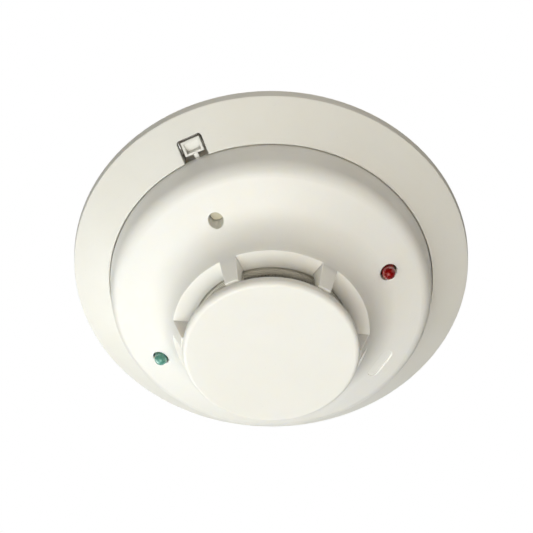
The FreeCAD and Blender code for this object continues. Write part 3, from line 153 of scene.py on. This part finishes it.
def moulded_plastic(name, colour, tint, grain=2600.0, grain_depth=0.02, roughness=0.42,
                    translucency=0.0, shade_reach=0.0):
    """Spark-eroded plastic: a fine grain, flow clouds and a light yellowing.  With a shade reach,
    the gaps round the release lever get painted shade, a dark brown laid where ambient
    occlusion finds a narrow gap."""
    graph = Graph(name)
    clouds = graph.noise(34.0, 3.0)
    specks = graph.noise(950.0, 2.0)
    grain_height = graph.noise(grain, 2.0, 0.6)
    flow = graph.noise(160.0, 2.0)
    base = graph.mix(graph.ramp(clouds, 0.3, 0.75), rgb(*colour), rgb(*tint))
    base = graph.mix(graph.ramp(specks, 0.68, 0.8, 0.0, 0.25), base, darker(tint, 0.82))
    # Painted shade: ambient occlusion darkens the narrow gaps round the release lever to a dark
    # brown, standing in for the shade that falls there.
    if shade_reach:
        painted_shade = graph.math("MULTIPLY", graph.gap_shade(shade_reach),
                           graph.near(LEVER_WINDOW, SHADE_FULL, SHADE_NONE))
        base = graph.mix(painted_shade, base, rgb(0.055, 0.033, 0.016))
    rough = graph.math("ADD", graph.ramp(clouds, 0.25, 0.8, roughness - 0.05, roughness + 0.05),
                       graph.ramp(grain_height, 0.3, 0.7, 0.0, 0.07))
    normal = graph.bump(flow, 0.05 * MM, 0.25)
    normal = graph.bump(grain_height, grain_depth * MM, 0.6, normal)
    return graph.surface(Base_Color=base, Roughness=rough, Normal=normal, IOR=1.5,
                         Subsurface_Weight=translucency, Subsurface_Scale=1.8 * MM,
                         Subsurface_Radius=(1.0, 0.9, 0.7))


def metal(name, colour, roughness):
    """Plated metal with drawn lines and a light tarnish."""
    graph = Graph(name)
    stretched = graph.add("ShaderNodeMapping", Vector=graph.place)
    stretched.inputs["Scale"].default_value = (1.0, 1.0, 14.0)
    lines = graph.add("ShaderNodeTexNoise", Vector=stretched.outputs["Vector"], Scale=900.0,
                      Detail=3.0).outputs["Fac"]
    tarnish = graph.noise(220.0, 3.0)
    base = graph.mix(graph.ramp(tarnish, 0.35, 0.7), rgb(*colour), darker(colour, 0.78))
    rough = graph.math("ADD", graph.ramp(tarnish, 0.3, 0.7, roughness, roughness + 0.12),
                       graph.ramp(lines, 0.3, 0.7, 0.0, 0.1))
    return graph.surface(Base_Color=base, Metallic=1.0, Roughness=rough,
                         Normal=graph.bump(lines, 0.01 * MM, 0.4))


def laminate(name):
    """Green circuit board with a glass weave."""
    graph = Graph(name)
    weave = graph.add("ShaderNodeTexBrick", Vector=graph.place, Scale=900.0, Mortar_Size=0.12)
    clouds = graph.noise(90.0, 3.0)
    base = graph.mix(graph.ramp(clouds, 0.3, 0.7), rgb(0.02, 0.13, 0.05), rgb(0.03, 0.19, 0.08))
    return graph.surface(Base_Color=base, Roughness=graph.ramp(clouds, 0.2, 0.8, 0.28, 0.4),
                         Normal=graph.bump(weave.outputs["Fac"], 0.02 * MM, 0.5))


def lens(name, colour, edge, gloss):
    """Tinted epoxy that lets some light through; gloss is the tint of its reflections."""
    graph = Graph(name)
    clouds = graph.noise(420.0, 2.0)
    base = graph.mix(graph.ramp(clouds, 0.3, 0.7), rgb(*colour), rgb(*edge))
    return graph.surface(Base_Color=base, Roughness=graph.ramp(clouds, 0.3, 0.7, 0.05, 0.1),
                         Transmission_Weight=0.15, IOR=1.45, Specular_IOR_Level=0.7,
                         Specular_Tint=rgb(*gloss),
                         Normal=graph.bump(clouds, 0.02 * MM, 0.3))


def make_materials():
    """One material for each slot of the record."""
    head_white, head_yellowed = (0.87, 0.855, 0.81), (0.855, 0.835, 0.775)
    base_white, base_yellowed = (0.81, 0.795, 0.742), (0.795, 0.775, 0.71)
    return {
        # Base and lever plastic get painted shade in the gaps round the release lever.
        "base_plastic": moulded_plastic("base_plastic", base_white, base_yellowed,
                                        translucency=0.25, shade_reach=6.0 * MM),
        "cover_plastic": moulded_plastic("cover_plastic", head_white, head_yellowed,
                                         grain=3000.0, grain_depth=0.015, roughness=0.38,
                                         translucency=0.5),
        "lever_plastic": moulded_plastic("lever_plastic", (0.82, 0.81, 0.76),
                                         (0.78, 0.77, 0.71), grain=3400.0,
                                         shade_reach=2.0 * MM),
        "button_plastic": moulded_plastic("button_plastic", (0.66, 0.63, 0.50),
                                          (0.50, 0.46, 0.34), grain=1500.0, grain_depth=0.08),
        "cage_plastic": moulded_plastic("cage_plastic", (0.80, 0.775, 0.70),
                                        (0.76, 0.73, 0.64)),
        "chassis_plastic": moulded_plastic("chassis_plastic", (0.68, 0.66, 0.60),
                                           (0.64, 0.61, 0.54)),
        "spacer_plastic": moulded_plastic("spacer_plastic", (0.05, 0.05, 0.055),
                                          (0.08, 0.08, 0.08)),
        "switch_case": moulded_plastic("switch_case", (0.04, 0.04, 0.045), (0.07, 0.07, 0.07)),
        "relay_case": moulded_plastic("relay_case", (0.05, 0.12, 0.32), (0.04, 0.09, 0.25)),
        "chip_black": moulded_plastic("chip_black", (0.03, 0.03, 0.032), (0.05, 0.05, 0.05)),
        "can_sleeve": moulded_plastic("can_sleeve", (0.03, 0.04, 0.08), (0.04, 0.06, 0.12)),
        "suppressor_coat": moulded_plastic("suppressor_coat", (0.05, 0.12, 0.40),
                                           (0.04, 0.09, 0.32)),
        "resistor_ceramic": moulded_plastic("resistor_ceramic", (0.06, 0.06, 0.065),
                                            (0.50, 0.50, 0.52)),
        "bead_epoxy": moulded_plastic("bead_epoxy", (0.30, 0.08, 0.03), (0.2, 0.05, 0.02)),
        "screen_mesh": metal("screen_mesh", (0.66, 0.62, 0.55), 0.45),
        "contact_metal": metal("contact_metal", (0.80, 0.76, 0.66), 0.24),
        "pin_metal": metal("pin_metal", (0.86, 0.84, 0.80), 0.2),
        "screw_metal": metal("screw_metal", (0.72, 0.72, 0.70), 0.26),
        "spring_metal": metal("spring_metal", (0.66, 0.66, 0.68), 0.22),
        "board_laminate": laminate("board_laminate"),
        "red_lens": lens("red_lens", (0.22, 0.002, 0.002), (0.31, 0.004, 0.003), (1.0, 0.55, 0.5)),
        "green_lens": lens("green_lens", (0.10, 0.29, 0.22), (0.15, 0.41, 0.33), (0.8, 1.0, 0.95)),
    }


def dress_nodes(materials):
    """Every CAD node takes the material of its record slot."""
    for node in NODES.values():
        for place in node.material_slots:
            place.material = materials[place.material.name]


# ---------------------------------------------------------------- pieces

def add_piece(name, shape, finish, body, node):
    """A piece from vertices and faces, which rides on a body and stands for a CAD node."""
    vertices, faces = shape
    mesh = bpy.data.meshes.new(name)
    mesh.from_pydata(vertices, [], faces)
    mesh.materials.append(materials[finish])
    mesh.polygons.foreach_set("use_smooth", [True] * len(faces))
    mesh.set_sharp_from_angle(angle=SHARP_ANGLE)
    piece = bpy.data.objects.new(name, mesh)
    bpy.context.scene.collection.objects.link(piece)
    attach(piece, body)
    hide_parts(node)
    return piece


def join(shapes):
    """Several shapes as one."""
    vertices = []
    faces = []
    for points, polygons in shapes:
        offset = len(vertices)
        vertices.extend(points)
        faces.extend(tuple(index + offset for index in polygon) for polygon in polygons)
    return vertices, faces


def wire(path, radius, sides, across, closed=False):
    """A round wire along a path; across is a direction that the path never takes."""
    count = len(path)
    vertices = []
    for i, point in enumerate(path):
        before = path[i - 1] if closed or i > 0 else point
        after = path[(i + 1) % count] if closed or i < count - 1 else point
        along = (after - before).normalized()
        side = along.cross(across).normalized()
        up = side.cross(along)
        for k in range(sides):
            turn = math.tau * k / sides
            vertices.append(point + (side * math.cos(turn) + up * math.sin(turn)) * radius)
    faces = []
    for i in range(count if closed else count - 1):
        here = i * sides
        there = (i + 1) % count * sides
        for k in range(sides):
            following = (k + 1) % sides
            faces.append((here + k, here + following, there + following, there + k))
    if not closed:
        faces.append(tuple(reversed(range(sides))))
        faces.append(tuple(range((count - 1) * sides, count * sides)))
    return vertices, faces


def lathe(profile, sides, centre):
    """A profile of (radius, z), turned about an upright axis; a zero radius closes it."""
    vertices = []
    rows = []
    for radius, z in profile:
        if radius == 0:
            rows.append([len(vertices)] * sides)
            vertices.append(centre + Vector((0, 0, z)))
            continue
        rows.append(range(len(vertices), len(vertices) + sides))
        for k in range(sides):
            turn = math.tau * k / sides
            vertices.append(centre + Vector((radius * math.cos(turn), radius * math.sin(turn), z)))
    faces = []
    for lower, upper in zip(rows, rows[1:]):
        for k in range(sides):
            following = (k + 1) % sides
            corners = (lower[k], lower[following], upper[following], upper[k])
            faces.append(tuple(dict.fromkeys(corners)))
    return vertices, faces


def slab(outline, thick, centre):
    """An outline of (x, z), given a thickness along Y."""
    count = len(outline)
    vertices = [centre + Vector((x, side * thick / 2, z)) for side in (-1, 1) for x, z in outline]
    faces = [tuple(range(count)), tuple(reversed(range(count, 2 * count)))]
    for i in range(count):
        j = (i + 1) % count
        faces.append((j, i, i + count, j + count))
    return vertices, faces


def insect_screen():
    """Woven wire in a ring: upright wires that pass over and under the round ones."""
    radius = 26.3 * MM
    wire_radius = 0.11 * MM
    sides = 5
    low, high = -45.4 * MM, -35.55 * MM
    uprights = 140
    hoops = 9
    spacing = (high - low) / hoops
    shapes = []
    for n in range(uprights):
        turn = math.tau * n / uprights
        outward = Vector((math.cos(turn), math.sin(turn), 0))
        path = []
        for i in range(2 * hoops + 1):
            wave = math.cos(math.pi * (i / 2 + n)) if i % 2 == 0 else 0.0
            path.append(outward * (radius + wire_radius * wave)
                        + Vector((0, 0, low + i * spacing / 2)))
        shapes.append(wire(path, wire_radius, sides, Vector((-outward.y, outward.x, 0))))
    for hoop in range(1, hoops):
        path = []
        for i in range(2 * uprights):
            turn = math.pi * i / uprights
            wave = -math.cos(math.pi * (hoop + i / 2)) if i % 2 == 0 else 0.0
            reach = radius + wire_radius * wave
            path.append(Vector((reach * math.cos(turn), reach * math.sin(turn),
                                low + hoop * spacing)))
        shapes.append(wire(path, wire_radius, sides, Vector((0, 0, 1)), closed=True))
    add_piece("woven_screen", join(shapes), "screen_mesh", "head", "insect_screen")


def lever_spring():
    """A coil spring with closed ends, built at rest; on the real detector it shortens as the lever
    is pressed.
    """
    radius = 1.0 * MM
    wire_radius = 0.2 * MM
    sides = 8
    centre = Vector((0, -66.0, 0)) * MM
    seat, top = -1.2 * MM, -5.2 * MM
    turns = 5.5
    closed_turns = 0.75
    steps = 22
    path = []
    count = int(turns * steps)
    dead = closed_turns / turns
    for i in range(count + 1):
        share = i / count
        rise = min(max((share - dead) / (1 - 2 * dead), 0.0), 1.0)
        level = seat - wire_radius + (top - seat + 2 * wire_radius) * rise
        turn = math.tau * turns * share
        path.append(centre + Vector((radius * math.cos(turn), radius * math.sin(turn), level)))
    piece = add_piece("coil_spring", wire(path, wire_radius, sides, Vector((0, 0, 1))),
                      "spring_metal", "base", "lever_spring")
    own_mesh(piece)


def lamp(name, centre_x, lens_finish):
    """A 5 mm lamp: a tinted lens with a flange, and its two leads and reflector cup inside."""
    centre = Vector((centre_x, 0, -30.0 * MM))
    side, flange, round_over = 2.5 * MM, 2.9 * MM, 0.12 * MM
    flange_front, back = 7.4 * MM, 8.4 * MM
    profile = [(0, back), (flange - round_over, back), (flange, back - round_over),
               (flange, flange_front + round_over), (flange - round_over, flange_front),
               (side + round_over, flange_front), (side, flange_front - round_over)]
    steps = 14
    for i in range(steps):
        lean = math.pi / 2 * i / steps
        profile.append((side * math.cos(lean), side * (1 - math.sin(lean))))
    profile.append((0, 0))
    add_piece(name + "_lens", lathe(profile, 40, centre), lens_finish, "head", name)
    lead_back = 18.05 * MM
    pitch, half = 1.27 * MM, 0.25 * MM
    anvil = [(-pitch - half, lead_back), (-pitch + half, lead_back),
             (-pitch + half, 7.0 * MM), (0.25 * MM, 5.6 * MM), (0.35 * MM, 4.0 * MM),
             (-0.85 * MM, 4.0 * MM), (-1.65 * MM, 5.4 * MM), (-pitch - half, 6.4 * MM)]
    post = [(pitch - half, lead_back), (pitch + half, lead_back),
            (pitch + half, 6.2 * MM), (1.35 * MM, 4.2 * MM), (0.75 * MM, 4.2 * MM),
            (pitch - half, 6.2 * MM)]
    cup = [(0, 4.1 * MM), (0.5 * MM, 4.0 * MM), (0.85 * MM, 3.1 * MM), (0.75 * MM, 3.1 * MM),
           (0.35 * MM, 3.7 * MM), (0, 3.75 * MM)]
    cup_centre = centre - Vector((0.25 * MM, 0, 0))
    shapes = [slab(anvil, 2 * half, centre), slab(post, 2 * half, centre),
              lathe(cup, 24, cup_centre)]
    add_piece(name + "_leads", join(shapes), "pin_metal", "head", name)


# ---------------------------------------------------------------- stage

CAMERA_DISTANCE = 0.3477
CAMERA_AZIMUTH = math.radians(24.9)
CAMERA_ELEVATION = math.radians(-56.83)
CAMERA_TILT = math.radians(0.65)
FLOOR_DEPTH = 1.6
FLOOR_REACH = 40.0
# name, azimuth and elevation in degrees, distance and size in metres, watts, colour
LIGHTS = [
    ("below", 24.9, -88, 1.0, 0.7, 4.35, (1.0, 0.955, 0.88)),
    ("by_camera", 22.0, -58, 0.9, 0.045, 0.45, (1.0, 0.96, 0.9)),
    ("right", 80, -12, 1.0, 0.7, 1.5, (1.0, 0.96, 0.88)),
    ("left_low", -97, -10, 1.0, 0.7, 2.5, (1.0, 0.99, 0.95)),
    ("left", -65.1, -65, 1.0, 0.7, 2.55, (0.66, 0.84, 1.0)),
    ("near_left", -20.1, -65, 1.0, 0.7, 1.9, (1.0, 0.86, 0.62)),
    ("back_left", -110.1, -40, 1.0, 0.7, 3.1, (0.93, 0.98, 1.0)),
    ("above_near", 20, 30, 1.1, 0.9, 2.6, (1.0, 0.98, 0.92)),
    ("above_far", 200, 40, 1.2, 0.9, 5.0, (1.0, 0.98, 0.92)),
    ("overhead", 200, 85, 1.0, 0.9, 3.5, (1.0, 0.98, 0.94)),
]


def unit(azimuth, elevation):
    """The direction from the object to a place round it; azimuth 0 is the -Y side."""
    return Vector((math.sin(azimuth) * math.cos(elevation),
                   -math.cos(azimuth) * math.cos(elevation), math.sin(elevation)))


def make_camera():
    """Looks up at the detector from its lever side."""
    data = bpy.data.cameras.new("camera")
    data.lens = 59.24
    data.sensor_width = 36.0
    data.shift_x = -0.0087
    data.clip_start = 0.01
    camera = bpy.data.objects.new("camera", data)
    bpy.context.scene.collection.objects.link(camera)
    camera.location = unit(CAMERA_AZIMUTH, CAMERA_ELEVATION) * CAMERA_DISTANCE
    looking = -unit(CAMERA_AZIMUTH, CAMERA_ELEVATION - CAMERA_TILT)
    camera.rotation_mode = "QUATERNION"
    camera.rotation_quaternion = looking.to_track_quat("-Z", "Y")
    bpy.context.scene.camera = camera


def make_floor():
    """A pale studio floor, evenly lit, that throws no light back up at the object."""
    mesh = bpy.data.meshes.new("floor")
    corners = [(-FLOOR_REACH, -FLOOR_REACH), (FLOOR_REACH, -FLOOR_REACH),
               (FLOOR_REACH, FLOOR_REACH), (-FLOOR_REACH, FLOOR_REACH)]
    mesh.from_pydata([(x, y, -FLOOR_DEPTH) for x, y in corners], [], [(0, 1, 2, 3)])
    floor = bpy.data.objects.new("floor", mesh)
    bpy.context.scene.collection.objects.link(floor)
    graph = Graph("floor_paint")
    clouds = graph.noise(3.0, 3.0)
    base = graph.mix(graph.ramp(clouds, 0.3, 0.7), rgb(0.82, 0.82, 0.81), rgb(0.85, 0.85, 0.84))
    mesh.materials.append(graph.surface(Base_Color=base, Roughness=0.8, Emission_Color=base,
                                        Emission_Strength=0.9))
    floor.visible_diffuse = False
    floor.visible_glossy = False
    floor.visible_transmission = False


def soft_light(name, azimuth, elevation, distance, size, power, colour):
    """A square soft box that faces the object."""
    data = bpy.data.lights.new(name, "AREA")
    data.energy = power
    data.size = size
    data.color = colour
    light = bpy.data.objects.new(name, data)
    bpy.context.scene.collection.objects.link(light)
    place = unit(math.radians(azimuth), math.radians(elevation))
    light.location = place * distance
    light.rotation_mode = "QUATERNION"
    light.rotation_quaternion = (-place).to_track_quat("-Z", "Y")


def make_world(background, ambient):
    """White behind the object, and a dimmer even light on it."""
    world = bpy.data.worlds.new("world")
    bpy.context.scene.world = world
    world.use_nodes = True
    nodes = world.node_tree.nodes
    links = world.node_tree.links
    nodes.clear()
    seen = nodes.new("ShaderNodeBackground")
    seen.inputs["Strength"].default_value = background
    light = nodes.new("ShaderNodeBackground")
    light.inputs["Strength"].default_value = ambient
    path = nodes.new("ShaderNodeLightPath")
    mix = nodes.new("ShaderNodeMixShader")
    output = nodes.new("ShaderNodeOutputWorld")
    for background_node in (seen, light):
        background_node.inputs["Color"].default_value = rgb(1.0, 1.0, 1.0)
    links.new(path.outputs["Is Camera Ray"], mix.inputs["Fac"])
    links.new(light.outputs["Background"], mix.inputs[1])
    links.new(seen.outputs["Background"], mix.inputs[2])
    links.new(mix.outputs["Shader"], output.inputs["Surface"])


materials = make_materials()
dress_nodes(materials)
insect_screen()
lever_spring()
lamp("red_lamp", LAMP_RADIUS, "red_lens")
lamp("green_lamp", -LAMP_RADIUS, "green_lens")
make_camera()
make_floor()
make_world(background=1.0, ambient=0.07)
for light in LIGHTS:
    soft_light(*light)
bpy.context.scene.view_settings.view_transform = "Standard"
